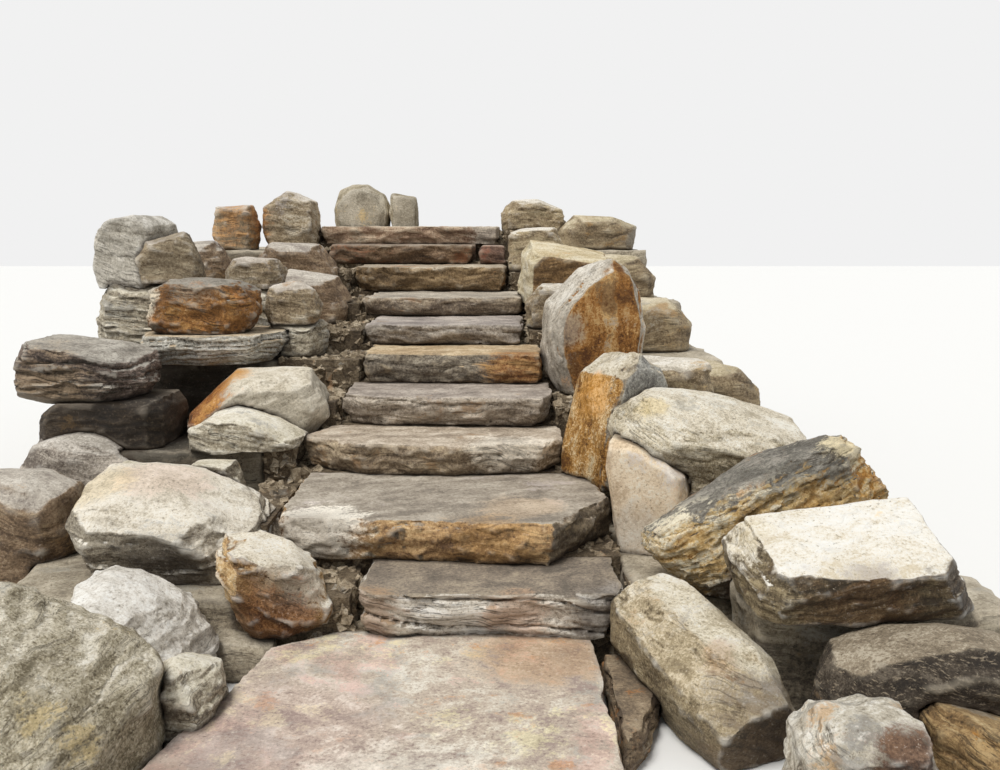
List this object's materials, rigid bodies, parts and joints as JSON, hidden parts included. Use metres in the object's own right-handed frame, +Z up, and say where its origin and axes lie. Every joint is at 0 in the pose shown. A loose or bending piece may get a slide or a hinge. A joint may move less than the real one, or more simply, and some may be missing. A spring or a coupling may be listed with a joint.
{
  "type": "outdoor stone steps with boulder banks",
  "caption": "Flight of split stone slab steps above a landing slab, climbing between two dry-laid boulder banks on rough stone walls and a rubble core.",
  "frame": {"origin": "on the ground, under the middle of the landing slab", "axes": "+X to the right across the flight as seen from its foot, +Y up the flight, +Z up"},
  "size_m": [4.4984, 7.7101, 2.1361],
  "materials": {
    "bank_wall_stone": "rough split stone",
    "buff_stone": "rough split stone",
    "cream_granular_stone": "rough split stone",
    "dark_schist": "rough split stone",
    "flaky_ochre_stone": "rough split stone",
    "grey_boulder_stone": "rough split stone",
    "grey_schist": "rough split stone",
    "layered_schist": "rough split stone",
    "mixed_stone": "rough split stone",
    "ochre_schist": "rough split stone",
    "orange_faced_stone": "rough split stone",
    "pale_block_stone": "rough split stone",
    "pale_boulder_stone": "rough split stone",
    "reddish_flagstone": "rough split stone",
    "reddish_schist": "rough split stone",
    "rubble": "rough split stone",
    "rusty_boulder_stone": "rough split stone",
    "rusty_schist": "rough split stone",
    "smooth_tan_stone": "rough split stone",
    "speckled_stone": "rough split stone",
    "streaked_schist": "rough split stone"
  },
  "bodies": {
    "root": {"landing_slab": "reddish_flagstone", "landing_chip": "layered_schist", "step_1": "grey_schist", "step_2": "streaked_schist", "step_3": "streaked_schist", "step_4": "grey_schist", "step_5": "ochre_schist", "step_6": "grey_schist", "step_7": "streaked_schist", "step_8": "ochre_schist", "step_9": "rusty_schist", "step_9_blocks": "rusty_schist", "step_10": "reddish_schist", "rubble_core": "rubble", "base_course_1": "bank_wall_stone", "base_course_2": "bank_wall_stone", "base_course_3": "bank_wall_stone", "base_course_4": "bank_wall_stone", "base_course_5": "bank_wall_stone", "right_curb_block": "cream_granular_stone", "right_corner_boulder": "mixed_stone", "right_outer_boulder": "ochre_schist", "right_speckled_boulder": "speckled_stone", "right_pale_block": "pale_block_stone", "right_flaky_slab": "flaky_ochre_stone", "right_upright_slab": "smooth_tan_stone", "right_speckled_slab": "speckled_stone", "right_leaning_slab": "orange_faced_stone", "right_pointed_slab": "orange_faced_stone", "right_square_block": "buff_stone", "right_upper_stones": "buff_stone", "right_outer_stones": "bank_wall_stone", "left_front_boulder": "pale_boulder_stone", "left_rusty_corner": "rusty_boulder_stone", "left_wavy_boulder": "pale_boulder_stone", "left_broad_boulder": "pale_boulder_stone", "left_small_stones": "pale_boulder_stone", "left_sloping_boulder": "buff_stone", "left_low_boulder": "grey_boulder_stone", "left_bearing_boulder": "grey_boulder_stone", "left_layered_boulder": "dark_schist", "left_cave_slab": "dark_schist", "left_rusty_boulder": "rusty_boulder_stone", "left_high_boulder": "pale_boulder_stone", "left_upper_stones": "buff_stone", "left_outer_stones": "bank_wall_stone", "top_stones": "grey_boulder_stone"}
  },
  "joints": []
}
